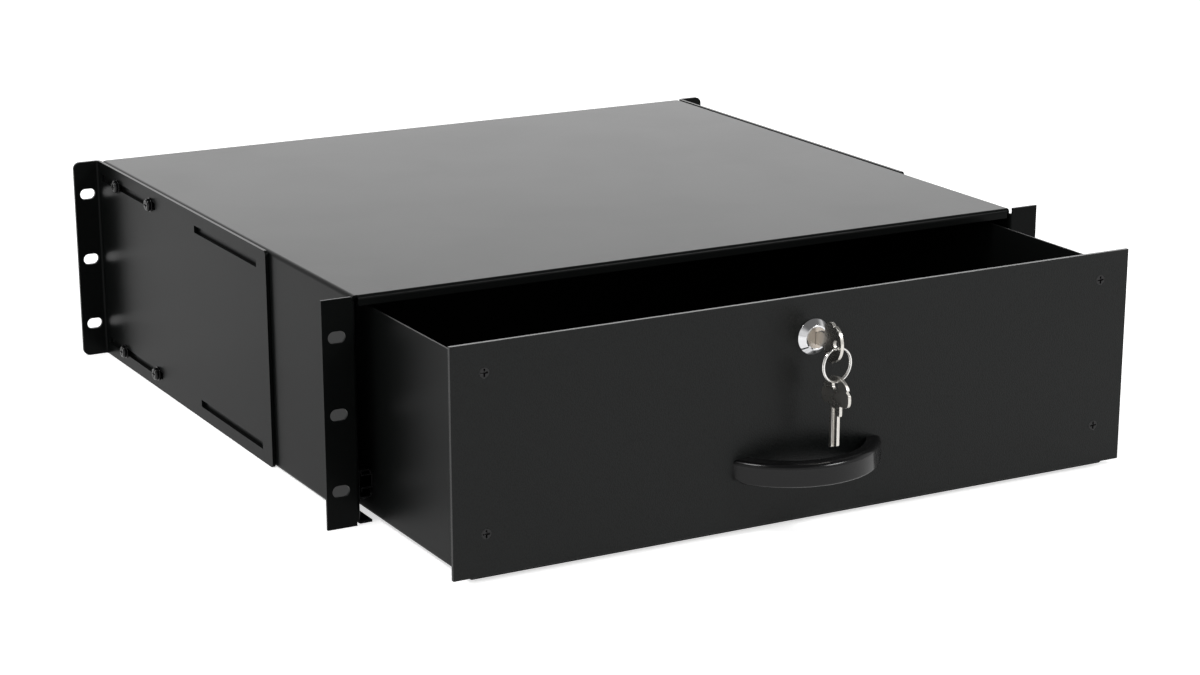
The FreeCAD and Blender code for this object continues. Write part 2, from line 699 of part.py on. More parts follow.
def drawer_runner():
    """The member on the drawer's wall, with a race and an upturned lip on each side."""
    body = new_body("drawer_runner_right")
    back = "(tray_out + runner_sheet)"
    lip = "(ball_lift + slider_hook)"
    tip = "(slider_edge + runner_sheet)"
    upper = [("tray_out", "runner_mid + race_in", "runner_sheet"),
             ("slider_edge", "runner_mid + race_in"), ("slider_edge", f"runner_mid + {lip}"),
             (tip, f"runner_mid + {lip}"),
             (tip, "runner_mid + (race_in - runner_sheet)", "runner_sheet"),
             (back, "runner_mid + (race_in - runner_sheet)")]
    lower = [(corner[0], corner[1].replace("+", "-", 1), *corner[2:])
             for corner in reversed(upper)]
    add(body, "channel", "y", "slider_front", "slider_end", ring(*upper, *lower))
    cut(body, "screw_holes", "x", "tray_out", back,
        *[disc(along, "runner_mid", "hole_radius") for along in SLIDER_SCREWS])
    return node(body, "drawer_runner_right")


def ball_cage():
    """A strip with turned edges, notched for the balls."""
    body = new_body("ball_cage_right")
    inner = "(cage_face - cage_sheet)"
    edge = "(ball_deep - cage_edge)"
    add(body, "strip", "y", "cage_mid - cage_length / 2", "cage_mid + cage_length / 2", ring(
        ("cage_face", "runner_mid - cage_high", "cage_sheet"),
        ("cage_face", "runner_mid + cage_high", "cage_sheet"),
        (edge, "runner_mid + cage_high"), (edge, "runner_mid + cage_high - cage_sheet"),
        (inner, "runner_mid + cage_high - cage_sheet"),
        (inner, "runner_mid - cage_high + cage_sheet"),
        (edge, "runner_mid - cage_high + cage_sheet"), (edge, "runner_mid - cage_high")))
    cut(body, "ball_notches", "z", "runner_mid - cage_high", "runner_mid + cage_high",
        *[disc("ball_deep", along, "ball_radius + notch_play") for along in BALL_PLACES])
    return node(body, "ball_cage_right")


def runner_balls():
    """Both rows of balls of the right-hand runner, as one node of separate solids."""
    balls = []
    for side in BOTH_SIDES:
        for along in BALL_PLACES:
            ball = doc.addObject("Part::Sphere", f"ball_{len(balls) + 1}")
            ball.setExpression("Radius", bound("ball_radius"))
            where = ("ball_deep", along, f"runner_mid + {side} * ball_lift")
            for axis, formula in zip("xyz", where):
                ball.setExpression(f"Placement.Base.{axis}", bound(formula))
            balls.append(ball)
    compound = doc.addObject("Part::Compound", "runner_balls_right")
    compound.Links = balls
    return node(compound, "runner_balls_right")


for right_hand in (case_runner(), drawer_runner(), ball_cage(), runner_balls(),
                   copies("slider_screws_right", slider_screw, -90,
                          *[("tray_in", along, "runner_mid") for along in SLIDER_SCREWS])):
    mirrored(right_hand, right_hand.Label.replace("right", "left"))

# ---------------------------------------------------------------- drawer

FACE_SCREWS = [(f"{side} * (tray_out - face_screw_edge)", up)
               for side in BOTH_SIDES for up in ("screw_low", "screw_high")]
HANDLE_SCREWS = [f"{side} * handle_screw_span / 2" for side in BOTH_SIDES]


def drawer_tray():
    """Floor and walls, folded from one sheet."""
    body = new_body("drawer_tray")
    add(body, "channel", "y", "face_back", "tray_back", ring(
        ("-tray_out", "tray_low", "tray_fold"), ("tray_out", "tray_low", "tray_fold"),
        ("tray_out", "tray_high"), ("tray_in", "tray_high"),
        ("tray_in", "tray_floor", "tray_bend"), ("-tray_in", "tray_floor", "tray_bend"),
        ("-tray_in", "tray_high"), ("-tray_out", "tray_high")))
    cut(body, "runner_screw_holes", "x", "-tray_out", "tray_out",
        *[disc(along, "runner_mid", "hole_radius") for along in SLIDER_SCREWS])
    return node(body, "drawer_tray")


def drawer_back():
    """The back wall, a flat plate welded between the walls."""
    body = new_body("drawer_back")
    corner = "tray_bend + weld_relief"
    add(body, "plate", "y", "tray_back - tray_sheet", "tray_back", ring(
        ("-tray_in", "tray_floor", corner), ("tray_in", "tray_floor", corner),
        ("tray_in", "tray_high"), ("-tray_in", "tray_high")))
    return node(body, "drawer_back")


def face_angles():
    """Two angles, welded inside the walls, that the face is screwed to."""
    body = new_body("face_angle")
    inner = "(tray_in - tray_sheet)"
    add(body, "angle", "z", "tray_floor + angle_foot", "tray_high", ring(
        ("tray_in - angle_width", "face_back"), ("tray_in", "face_back", "tray_fold"),
        ("tray_in", "face_back + angle_width"), (inner, "face_back + angle_width"),
        (inner, "face_back + tray_sheet", "tray_bend"),
        ("tray_in - angle_width", "face_back + tray_sheet")))
    cut(body, "screw_holes", "y", "face_back", "face_back + tray_sheet",
        *[disc(across, up, "face_hole_radius") for across, up in FACE_SCREWS[:2]])
    twin = doc.addObject("Part::Mirroring", "face_angle_left")
    twin.Source = body
    twin.Normal = (1, 0, 0)
    pair = doc.addObject("Part::Compound", "face_angles")
    pair.Links = [body, twin]
    return node(pair, "face_angles")


def double_d(across, up, radius, flats):
    """A round cut to two upright flats, so that the lock's barrel can't turn."""
    def draw(sketch):
        left, right = f"{across} - ({flats}) / 2", f"{across} + ({flats}) / 2"
        rise = f"sqrt(({radius}) ^ 2 - (({flats}) / 2) ^ 2)"
        low, high, middle = f"{up} - {rise}", f"{up} + {rise}", (across, up)
        line(sketch, (right, low), (right, high))
        line(sketch, (left, high), (left, low))
        arc(sketch, (right, high), (left, high), radius, middle)
        arc(sketch, (left, low), (right, low), radius, middle)
    return draw


def face_plate():
    """The front: a flat plate with countersunk corners and the lock's hole."""
    body = new_body("face_plate")
    add(body, "plate", "y", "face_front", "face_back",
        box("-face_end", "face_low", "face_end", "face_high"))
    dress(body, "Fillet", "soft_edges", "face_edge",
          lambda edge: near(edge, y="face_front"))
    cut(body, "screw_holes", "y", "face_front", "face_back",
        *[disc(across, up, "face_hole_radius") for across, up in FACE_SCREWS])
    dress(body, "Chamfer", "countersinks",
          "(face_head - face_shank) / 2 - shank_play + countersink_play",
          lambda edge: near(edge, y="face_front") and edge.Curve.TypeId == "Part::GeomCircle")
    cut(body, "lock_hole", "y", "face_front", "face_back",
        double_d("lock_across", "lock_mid", "barrel_width / 2 + barrel_play", "barrel_flats + 2 * barrel_play"))
    cut(body, "handle_holes", "y", "face_front", "face_back",
        *[disc(across, "handle_mid", "hole_radius") for across in HANDLE_SCREWS])
    return node(body, "face_plate")


def pull_handle():
    """A moulded bow: two arcs that meet the face at its feet, with a gap for the fingers."""
    def bow(sketch):
        foot, gap = "handle_width / 2", "grip_half"
        line(sketch, (foot, "face_front"), (gap, "face_front"))
        line(sketch, (f"-{gap}", "face_front"), (f"-{foot}", "face_front"))
        arc(sketch, (f"-{foot}", "face_front"), (foot, "face_front"), "handle_curve",
            ("0", "face_front - handle_reach + handle_curve"))
        arc(sketch, (f"-{gap}", "face_front"), (gap, "face_front"), "grip_curve",
            ("0", "face_front - grip_deep + grip_curve"))

    def on_arc(edge, curve):
        is_round = edge.Curve.TypeId == "Part::GeomCircle"
        return is_round and abs(edge.Curve.Radius - value(curve)) < TOLERANCE

    body = new_body("pull_handle")
    add(body, "bow", "z", "handle_mid - handle_height / 2", "handle_mid + handle_height / 2", bow)
    dress(body, "Fillet", "outer_edges", "handle_round",
          lambda edge: on_arc(edge, "handle_curve"))
    dress(body, "Fillet", "inner_edges", "grip_round",
          lambda edge: on_arc(edge, "grip_curve"))
    grip = "(handle_screw_length - face_sheet - washer_sheet + 2 * shank_play)"
    cut(body, "screw_holes", "y", f"face_front - {grip}", "face_front",
        *[disc(across, "handle_mid", "screw_shank / 2 + shank_play / 2")
          for across in HANDLE_SCREWS])
    return node(body, "pull_handle")


drawer_tray()
drawer_back()
face_angles()
face_plate()
pull_handle()
copies("face_screws", face_screw, 0,
       *[(across, "face_front", up) for across, up in FACE_SCREWS])
copies("face_nuts", m3_nut, 0,
       *[(across, "face_back + tray_sheet", up) for across, up in FACE_SCREWS])
copies("handle_washers", m4_washer, 0,
       *[(across, "face_back", "handle_mid") for across in HANDLE_SCREWS])
copies("handle_screws", handle_screw, 180,
       *[(across, "face_back + washer_sheet", "handle_mid") for across in HANDLE_SCREWS])

# ---------------------------------------------------------------- lock

def lock_body():
    """The bezel and its threaded barrel, bored for the plug."""
    body = new_body("lock_body", {"x": "lock_across", "y": "face_front", "z": "lock_mid"})
    bore = "plug_width / 2 + plug_play"
    turn(body, "profile", ring(
        (bore, "-bezel_height"), ("bezel_front / 2", "-bezel_height"),
        ("bezel_width / 2", "-bezel_rim"), ("bezel_width / 2", "0"),
        ("barrel_width / 2", "0"), ("barrel_width / 2", "barrel_length"),
        (bore, "barrel_length")))
    flat, side = "barrel_flats / 2", "barrel_width"
    cut(body, "flats", "y", "0", "barrel_length",
        box(flat, f"-{side}", side, side), box(f"-{side}", f"-{side}", f"-{flat}", side))
    return node(body, "lock_body")


def lock_nut():
    """The nut that clamps the lock to the face."""
    body = new_body("lock_nut", {"x": "lock_across", "y": "face_back", "z": "lock_mid"})
    add(body, "profile", "y", "0", "lock_nut_height", hexagon("lock_nut_flats"),
        disc("0", "0", "barrel_width / 2 + barrel_play"))
    return node(body, "lock_nut")


def lock_plug():
    """The core that the key turns; its square tang drives the cam."""
    body = new_body("lock_plug", {"x": "lock_across", "y": "plug_face", "z": "lock_mid"})
    half, radius = "tang_width / 2", "plug_width / 2"
    shoulder, tang_end = "cam_front - plug_face", "cam_back - plug_face"
    turn(body, "core", ring(("0", "0"), (radius, "0"), (radius, shoulder), ("0", shoulder)))
    add(body, "tang", "y", shoulder, tang_end, box(f"-{half}", f"-{half}", half, half))
    wide, high = "key_sheet / 2 + blade_play", "blade_width / 2 + blade_play"
    cut(body, "keyway", "y", "0", "blade_length - key_stand + blade_play",
        box(f"-({wide})", f"-({high})", wide, high))
    cut(body, "cam_screw_hole", "y", f"{tang_end} - cam_screw_length - shank_play", tang_end,
        disc("0", "0", "screw_shank / 2 + shank_play / 2"))
    return node(body, "lock_plug")


def lock_cam():
    """The arm that swings up behind the strike; it points to the left when unlocked."""
    body = new_body("lock_cam", {"x": "lock_across", "z": "lock_mid"})
    middle = "(cam_width / 2 - cam_reach) / 2"
    half = "(tang_width / 2 + tang_play)"
    add(body, "arm", "y", "cam_front", "cam_back",
        slot(middle, "0", "cam_reach + cam_width / 2", "cam_width"),
        box(f"-{half}", f"-{half}", half, half))
    return node(body, "lock_cam")


lock_body()
lock_nut()
lock_plug()
lock_cam()
copies("cam_screw", short_screw, 180, ("lock_across", "cam_back", "lock_mid"))

# ---------------------------------------------------------------- keys and ring

def cabinet_key(label, low, turned):
    """A flat key; its blade points along +Y and its shoulder rests at its own origin."""
    def bow(sketch):
        flat = "-neck_length"
        edge = "sqrt(bow_radius ^ 2 - (bow_mid - neck_length) ^ 2)"
        line(sketch, (flat, f"key_axis - {edge}"), (flat, f"key_axis + {edge}"))
        arc(sketch, (flat, f"key_axis + {edge}"), (flat, f"key_axis - {edge}"),
            "bow_radius", ("-bow_mid", "key_axis"))

    def nick(side):
        edge = "sqrt(bow_radius ^ 2 - (nick_place - bow_mid) ^ 2)"
        deep, out = f"({edge} - bow_nick)", f"({edge} + bow_nick)"
        half = "nick_spread * bow_nick"
        return ring(("-nick_place", f"key_axis + {side} * {deep}"),
                    (f"-nick_place + {half}", f"key_axis + {side} * {out}"),
                    (f"-nick_place - {half}", f"key_axis + {side} * {out}"))

    body = new_body(label, low)
    body.Placement.Rotation = turned
    half = "key_sheet / 2"
    blade_low = "-blade_width / 2"
    add(body, "bow", "x", f"-{half}", half, bow)
    dress(body, "Fillet", "bow_corners", "bow_corner",
          lambda edge: near(edge, y="-neck_length") and level(edge))
    add(body, "neck", "x", f"-{half}", half,
        box("-neck_length - bow_corner", blade_low, "0", f"{blade_low} + neck_width"))
    add(body, "blade", "x", f"-{half}", half, ring(
        ("0", blade_low), ("blade_length", blade_low),
        ("blade_length - blade_point", "blade_width / 2"), ("0", "blade_width / 2")))
    cut(body, "nicks", "x", f"-{half}", half, nick(1), nick(-1))
    cut(body, "ring_hole", "x", f"-{half}", half,
        disc("-key_hole_place", "key_axis", "key_hole / 2"))
    cut(body, "groove", "x", f"{half} - groove_depth", half,
        box("-groove_start", "-groove_width / 2", "blade_length", "groove_width / 2"))
    return node(body, label)


def key_ring():
    """Two turns of wire, lying side by side."""
    turns = []
    for number, side in enumerate(BOTH_SIDES, start=1):
        torus = doc.addObject("Part::Torus", f"ring_turn_{number}")
        torus.setExpression("Radius1", bound("ring_width / 2"))
        torus.setExpression("Radius2", bound("ring_wire / 2"))
        torus.setExpression("Placement.Base.z", bound(f"{side} * ring_lap / 2"))
        turns.append(torus)
    fused = doc.addObject("Part::MultiFuse", "key_ring")
    fused.Shapes = turns
    fused.Placement.Rotation = FreeCAD.Rotation(value("ring_turn"), 0, 90)
    fused.setExpression("Placement.Base.x", bound("lock_across"))
    fused.setExpression("Placement.Base.y", bound("hang_deep"))
    fused.setExpression("Placement.Base.z", bound("ring_mid"))
    return node(fused, "key_ring")


LEVEL = FreeCAD.Rotation(0, 0, 0)
HANGING = (FreeCAD.Rotation(value("spare_turn"), 0, 0)
           * FreeCAD.Rotation(FreeCAD.Vector(1, 0, 0), -90)
           * FreeCAD.Rotation(FreeCAD.Vector(0, 1, 0), 180))

cabinet_key("key_in_lock", {"x": "lock_across", "y": "key_front", "z": "lock_mid"}, LEVEL)
key_ring()
cabinet_key("spare_key", {
    "x": "lock_across - key_axis * sin(spare_turn)",
    "y": "hang_deep + key_axis * cos(spare_turn)",
    "z": "spare_mid"}, HANGING)

# ---------------------------------------------------------------- checks and files

doc.recompute()

for thing in doc.Objects:
    if "Invalid" in thing.State or "Error" in thing.State:
        raise RuntimeError(f"{thing.Name} failed: {thing.State}")

for label, thing in NODES.items():
    if thing.Shape.isNull() or not thing.Shape.isValid() or not thing.Shape.Solids:
        raise RuntimeError(f"{label} has no valid solid")

os.makedirs("parts", exist_ok=True)
for label, thing in NODES.items():
    thing.Shape.exportStep(f"parts/{label}.step")
    print(f"{label:22s} {len(thing.Shape.Solids):2d} solids {thing.Shape.Volume:12.1f} mm3")
print(len(NODES), "nodes")
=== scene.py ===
# %% [markdown]
# # A sliding rack drawer, dressed in Blender
# The drawer is folded from sheet steel and coated black.  Its shapes come ready made from
# CAD, in metres, and they are accurate but hard: every fold is a row of flat strips and
# every edge is a perfect corner.  This lesson gives each piece what the maker's shop
# gives it: broken edges that catch the light, a paint with a grain, bright metal where
# the paint stops.  We begin by loading the frame, which is never moved.

# %% Load the frame
import json
import math

import bmesh
import bpy
from mathutils import Matrix, Vector


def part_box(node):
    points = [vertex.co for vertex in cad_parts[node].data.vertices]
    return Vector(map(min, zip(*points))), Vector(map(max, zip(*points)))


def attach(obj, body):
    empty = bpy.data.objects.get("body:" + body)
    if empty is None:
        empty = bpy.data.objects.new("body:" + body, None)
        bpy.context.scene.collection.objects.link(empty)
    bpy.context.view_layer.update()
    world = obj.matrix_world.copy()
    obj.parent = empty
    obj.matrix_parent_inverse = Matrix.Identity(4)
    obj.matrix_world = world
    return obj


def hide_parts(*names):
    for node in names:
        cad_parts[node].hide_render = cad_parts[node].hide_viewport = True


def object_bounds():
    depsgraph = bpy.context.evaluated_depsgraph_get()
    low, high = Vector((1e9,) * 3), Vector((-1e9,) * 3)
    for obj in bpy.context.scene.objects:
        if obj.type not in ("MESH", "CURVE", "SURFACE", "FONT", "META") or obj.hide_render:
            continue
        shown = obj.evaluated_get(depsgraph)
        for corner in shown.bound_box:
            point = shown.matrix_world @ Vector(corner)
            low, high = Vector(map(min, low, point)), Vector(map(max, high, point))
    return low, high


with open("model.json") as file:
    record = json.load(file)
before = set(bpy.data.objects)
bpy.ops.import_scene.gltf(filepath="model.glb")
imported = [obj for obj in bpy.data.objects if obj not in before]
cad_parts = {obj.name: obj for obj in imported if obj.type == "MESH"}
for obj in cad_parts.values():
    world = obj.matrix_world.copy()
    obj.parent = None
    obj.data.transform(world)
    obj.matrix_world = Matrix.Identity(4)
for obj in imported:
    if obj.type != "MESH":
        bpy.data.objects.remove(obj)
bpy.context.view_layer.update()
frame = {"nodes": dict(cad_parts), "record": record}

BODY_OF = {node: body for body, nodes in frame["record"]["behaviour"]["bodies"].items()
           for node in nodes}
SLOT_OF = {part["node"]: part["material_slot"] for part in frame["record"]["subparts"]}
MM = 0.001

# %% [markdown]
# ## Ground rules for every new piece
# A finished piece sits at the origin, unturned, with its place in its mesh, and it rides
# on the body that carries it.  Two helpers keep that in one spot: one turns a bmesh into
# an object, the other says what the piece stands for and which body moves it.

# %% Make an object from a bmesh, and hang it on its body
def as_object(shape, name):
    """A new object that holds the bmesh, at the origin."""
    mesh = bpy.data.meshes.new(name)
    shape.to_mesh(mesh)
    shape.free()
    piece = bpy.data.objects.new(name, mesh)
    bpy.context.scene.collection.objects.link(piece)
    return piece


def stands_for(piece, node, material):
    """The piece takes the place of a CAD node: its body and its finish."""
    piece.data.materials.clear()
    piece.data.materials.append(material)
    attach(piece, BODY_OF[node])
    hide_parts(node)
    return piece


# %% [markdown]
# ## Edges that catch the light
# Sheared and coated sheet never has a knife edge: the paint rounds it to a few tenths of
# a millimetre, and that thin round is what draws a bright line along each fold and rim.
# The CAD meshes are loose triangles, so a copy is merged first, its flat triangles are
# joined to whole faces, and a Bevel modifier rounds what is sharper than a fold's facets.
# Its loop slide is off, because sliding made the large faces of the keys fold over.
# A Weighted Normal modifier then keeps the large faces looking flat.

# %% A copy of a CAD node with soft edges
SHARP = math.radians(32)         # a corner that gets rounded
FLAT = math.radians(0.3)         # triangles this level with each other are one face
SAME_PLACE = 0.002 * MM          # corners this close are one corner


def merged_copy(node):
    """The node's mesh as one closed skin, with flat areas made whole faces."""
    shape = bmesh.new()
    shape.from_mesh(frame["nodes"][node].data)
    bmesh.ops.remove_doubles(shape, verts=shape.verts, dist=SAME_PLACE)
    bmesh.ops.dissolve_limit(shape, angle_limit=FLAT, verts=shape.verts,
                             edges=shape.edges, delimit={"NORMAL"})
    return shape


def softened(node, width, steps=2):
    """An object made from the node's copy, its sharp edges rounded by width."""
    piece = as_object(merged_copy(node), node + "_dressed")
    piece.data.shade_smooth()
    bevel = piece.modifiers.new("soft_edges", "BEVEL")
    bevel.limit_method, bevel.angle_limit = "ANGLE", SHARP
    bevel.width, bevel.segments = width, steps
    bevel.use_clamp_overlap, bevel.loop_slide = True, False
    even = piece.modifiers.new("even_normals", "WEIGHTED_NORMAL")
    even.keep_sharp = True
    return piece


# %% [markdown]
# ## Shared surface effects
# Several finishes need the same small effects, so each effect is built once as a node
# group with named sockets: the orange peel of powder paint, the leather grain of the
# front, the soft marks left by hands, and the fine lines of drawn or turned metal.

# %% Helpers for node groups
def new_group(name, inputs, outputs):
    """An empty node group with float or vector sockets, and its two end nodes."""
    group = bpy.data.node_groups.new(name, "ShaderNodeTree")
    for title, kind, value in inputs:
        socket = group.interface.new_socket(name=title, in_out="INPUT", socket_type=kind)
        if value is not None:
            socket.default_value = value
    for title, kind in outputs:
        group.interface.new_socket(name=title, in_out="OUTPUT", socket_type=kind)
    return group, group.nodes.new("NodeGroupInput"), group.nodes.new("NodeGroupOutput")


def step(tree, kind, settings=None, **inputs):
    """Add a node; a setting is a property, an input is a number or a socket to link."""
    added = tree.nodes.new(kind)
    for key, setting in (settings or {}).items():
        setattr(added, key, setting)
    for key, source in inputs.items():
        socket = added.inputs[int(key[1:])] if key[0] == "i" and key[1:].isdigit() \
            else added.inputs[key.replace("_", " ")]
        if isinstance(source, bpy.types.NodeSocket):
            tree.links.new(source, socket)
        else:
            socket.default_value = source
    return added


FLOAT, VECTOR = "NodeSocketFloat", "NodeSocketVector"

# %% The orange peel of powder paint
peel, enter, leave = new_group(
    "orange_peel", [("Vector", VECTOR, None), ("Scale", FLOAT, 700.0)],
    [("Height", FLOAT), ("Patches", FLOAT)])
fine = step(peel, "ShaderNodeTexNoise", Vector=enter.outputs["Vector"],
            Scale=enter.outputs["Scale"], Detail=2.0, Roughness=0.55)
broad = step(peel, "ShaderNodeTexNoise", Vector=enter.outputs["Vector"],
             Scale=9.0, Detail=3.0, Roughness=0.5)
peel.links.new(fine.outputs["Fac"], leave.inputs["Height"])
peel.links.new(broad.outputs["Fac"], leave.inputs["Patches"])

# %% The leather grain pressed into the front's paint
leather, enter, leave = new_group(
    "leather_grain", [("Vector", VECTOR, None), ("Scale", FLOAT, 900.0)],
    [("Height", FLOAT), ("CreaseShade", FLOAT)])
bend = step(leather, "ShaderNodeTexNoise", Vector=enter.outputs["Vector"], Scale=500.0,
            Detail=2.0)
pull = step(leather, "ShaderNodeVectorMath", {"operation": "MULTIPLY_ADD"},
            i0=bend.outputs["Color"], i1=(0.0012, 0.0012, 0.0012), i2=enter.outputs["Vector"])
cells = step(leather, "ShaderNodeTexVoronoi", {"feature": "SMOOTH_F1"},
             Vector=pull.outputs["Vector"], Scale=enter.outputs["Scale"], Smoothness=0.35)
dome = step(leather, "ShaderNodeMapRange", Value=cells.outputs["Distance"],
            From_Min=0.05, From_Max=0.75, To_Min=1.0, To_Max=0.0)
leather.links.new(dome.outputs["Result"], leave.inputs["Height"])
# Crease marks the valleys between the grain's cells; the front's paint darkens them there as
# painted shade.
crease_shade = step(leather, "ShaderNodeMapRange", Value=cells.outputs["Distance"],
              From_Min=0.35, From_Max=0.75)
leather.links.new(crease_shade.outputs["Result"], leave.inputs["CreaseShade"])

# %% Marks left by hands and cloths
marks, enter, leave = new_group(
    "handling_marks", [("Vector", VECTOR, None), ("Scale", FLOAT, 14.0)],
    [("Mask", FLOAT)])
cloud = step(marks, "ShaderNodeTexNoise", Vector=enter.outputs["Vector"],
             Scale=enter.outputs["Scale"], Detail=5.0, Roughness=0.6, Distortion=0.4)
mask = step(marks, "ShaderNodeMapRange", Value=cloud.outputs["Fac"],
            From_Min=0.42, From_Max=0.7)
marks.links.new(mask.outputs["Result"], leave.inputs["Mask"])

# %% Fine lines of drawn metal: a noise squeezed across the drawing direction
drawn, enter, leave = new_group(
    "drawn_lines", [("Vector", VECTOR, None), ("Stretch", VECTOR, (900.0, 12.0, 900.0))],
    [("Height", FLOAT), ("Tone", FLOAT)])
squeeze = step(drawn, "ShaderNodeVectorMath", {"operation": "MULTIPLY"},
               i0=enter.outputs["Vector"], i1=enter.outputs["Stretch"])
lines = step(drawn, "ShaderNodeTexNoise", Vector=squeeze.outputs["Vector"], Scale=1.0,
             Detail=4.0, Roughness=0.65)
drawn.links.new(lines.outputs["Fac"], leave.inputs["Height"])
drawn.links.new(lines.outputs["Fac"], leave.inputs["Tone"])
print("groups:", [group.name for group in bpy.data.node_groups])

# %% [markdown]
# ## The finishes
# Every finish is one Principled shader.  The numbers that are the same all over sit on
# the shader itself; the groups only move roughness, colour and height around them.

# %% Start a finish
def new_finish(name, colour, rough, metal=0.0, specular=0.5):
    """A material, its tree, its shader and the object coordinates."""
    finish = bpy.data.materials.new(name)
    finish.use_nodes = True
    finish.diffuse_color = (*colour, 1.0)
    tree = finish.node_tree
    shader = tree.nodes["Principled BSDF"]
    shader.inputs["Base Color"].default_value = (*colour, 1.0)
    shader.inputs["Roughness"].default_value = rough
    shader.inputs["Metallic"].default_value = metal
    shader.inputs["Specular IOR Level"].default_value = specular
    place = tree.nodes.new("ShaderNodeTexCoord").outputs["Object"]
    return finish, tree, shader, place


def group_node(tree, group, **inputs):
    """Place a shared group in a material."""
    return step(tree, "ShaderNodeGroup", {"node_tree": group}, **inputs)


def raise_surface(tree, shader, height, depth, strength=1.0):
    """Let a height, in metres at depth, tilt the surface."""
    bump = step(tree, "ShaderNodeBump", Height=height, Strength=strength, Distance=depth)
    tree.links.new(bump.outputs["Normal"], shader.inputs["Normal"])


def vary(tree, mask, low, high):
    """Turn a mask into a number between two values."""
    return step(tree, "ShaderNodeMapRange", Value=mask, To_Min=low, To_Max=high).outputs[0]


def tint(tree, mask, low, high):
    """Turn a mask into a colour between two colours."""
    mix = step(tree, "ShaderNodeMix", {"data_type": "RGBA"}, Factor=mask)
    mix.inputs[6].default_value, mix.inputs[7].default_value = (*low, 1), (*high, 1)
    return mix.outputs[2]


# %% [markdown]
# ### Powder paint
# Powder paint is sprayed dry and melted on.  It flows into low hills about a millimetre
# apart, which is why a coated sheet reflects softly and slightly unevenly.

# %% Satin paint on the housing, finer paint on the drawer
def powder_paint(name, colour, rough, depth, specular):
    finish, tree, shader, place = new_finish(name, colour, rough, specular=specular)
    skin = group_node(tree, peel, Vector=place, Scale=620.0)
    hands = group_node(tree, marks, Vector=place)
    tree.links.new(vary(tree, hands.outputs["Mask"], rough, rough + 0.012),
                   shader.inputs["Roughness"])
    lighter = tuple(1.25 * part for part in colour)
    tree.links.new(tint(tree, skin.outputs["Patches"], colour, lighter),
                   shader.inputs["Base Color"])
    raise_surface(tree, shader, skin.outputs["Height"], depth)
    return finish


housing_paint = powder_paint("housing_paint", (0.0034, 0.0038, 0.0037), 0.28, 0.02 * MM, 0.043)
drawer_paint = powder_paint("drawer_paint", (0.003, 0.0034, 0.0033), 0.42, 0.015 * MM, 0.078)

# %% Leather grain on the front, with painted shade in its creases
face_paint, tree, shader, place = new_finish("face_paint", (0.0036, 0.0043, 0.0041), 0.31,
                                             specular=0.17)
grain = group_node(tree, leather, Vector=place, Scale=1150.0)
hands = group_node(tree, marks, Vector=place, Scale=10.0)
# The base colour goes darker in the grain's creases: painted shade in the valleys of the
# grain.
tree.links.new(tint(tree, grain.outputs["CreaseShade"], (0.0042, 0.005, 0.0048),
                    (0.0018, 0.0022, 0.0021)), shader.inputs["Base Color"])
tree.links.new(vary(tree, hands.outputs["Mask"], 0.29, 0.34), shader.inputs["Roughness"])
raise_surface(tree, shader, grain.outputs["Height"], 0.05 * MM)

# %% [markdown]
# ### Metals and plastic
# The runners are blackened strip, drawn lengthways.  The lock is polished chrome on a
# casting, its core is turned nickel, and the keys are stamped and tumbled.  The handle is
# moulded in a polished tool, so it is glossy, with faint waves.

# %% Runner strip, zinc, ring, keys, lock, balls and black screws
def drawn_metal(name, colour, rough, stretch, depth):
    finish, tree, shader, place = new_finish(name, colour, rough, metal=1.0)
    strokes = group_node(tree, drawn, Vector=place, Stretch=stretch)
    hands = group_node(tree, marks, Vector=place, Scale=40.0)
    darker = tuple(0.8 * part for part in colour)
    tree.links.new(tint(tree, strokes.outputs["Tone"], darker, colour),
                   shader.inputs["Base Color"])
    tree.links.new(vary(tree, hands.outputs["Mask"], rough - 0.04, rough + 0.1),
                   shader.inputs["Roughness"])
    raise_surface(tree, shader, strokes.outputs["Height"], depth)
    return finish


runner_steel = drawn_metal("runner_steel", (0.024, 0.024, 0.025), 0.3,
                           (1400.0, 25.0, 1400.0), 0.004 * MM)
zinc_nut = drawn_metal("zinc_nut", (0.55, 0.55, 0.53), 0.32,
                       (500.0, 500.0, 500.0), 0.005 * MM)
ring_steel = drawn_metal("ring_steel", (0.74, 0.73, 0.71), 0.2,
                         (300.0, 300.0, 300.0), 0.003 * MM)
key_nickel = drawn_metal("key_nickel", (0.62, 0.6, 0.56), 0.3,
                         (700.0, 160.0, 160.0), 0.006 * MM)
lock_core = drawn_metal("lock_core", (0.46, 0.41, 0.36), 0.3,
                        (600.0, 600.0, 600.0), 0.005 * MM)
lock_chrome = drawn_metal("lock_chrome", (0.66, 0.66, 0.67), 0.08,
                          (400.0, 400.0, 400.0), 0.001 * MM)
ball_steel = drawn_metal("ball_steel", (0.7, 0.7, 0.7), 0.1,
                         (300.0, 300.0, 300.0), 0.001 * MM)
black_screw = powder_paint("black_screw", (0.002, 0.002, 0.0022), 0.12, 0.002 * MM, 0.3)

# %% Polished plastic
handle_plastic, tree, shader, place = new_finish("handle_plastic", (0.003, 0.003, 0.0032),
                                                 0.16, specular=0.25)
hands = group_node(tree, marks, Vector=place, Scale=30.0)
tree.links.new(vary(tree, hands.outputs["Mask"], 0.14, 0.22), shader.inputs["Roughness"])
wave = group_node(tree, peel, Vector=place, Scale=120.0)
raise_surface(tree, shader, wave.outputs["Height"], 0.01 * MM)

FINISHES = {"housing_paint": housing_paint, "drawer_paint": drawer_paint,
            "face_paint": face_paint, "runner_steel": runner_steel,
            "ball_steel": ball_steel, "black_screw": black_screw, "zinc_nut": zinc_nut,
            "handle_plastic": handle_plastic, "lock_chrome": lock_chrome,
            "lock_core": lock_core, "key_nickel": key_nickel, "ring_steel": ring_steel}
for node, thing in frame["nodes"].items():
    thing.data.materials.clear()
    thing.data.materials.append(FINISHES[SLOT_OF[node]])
print("finishes:", len(FINISHES))

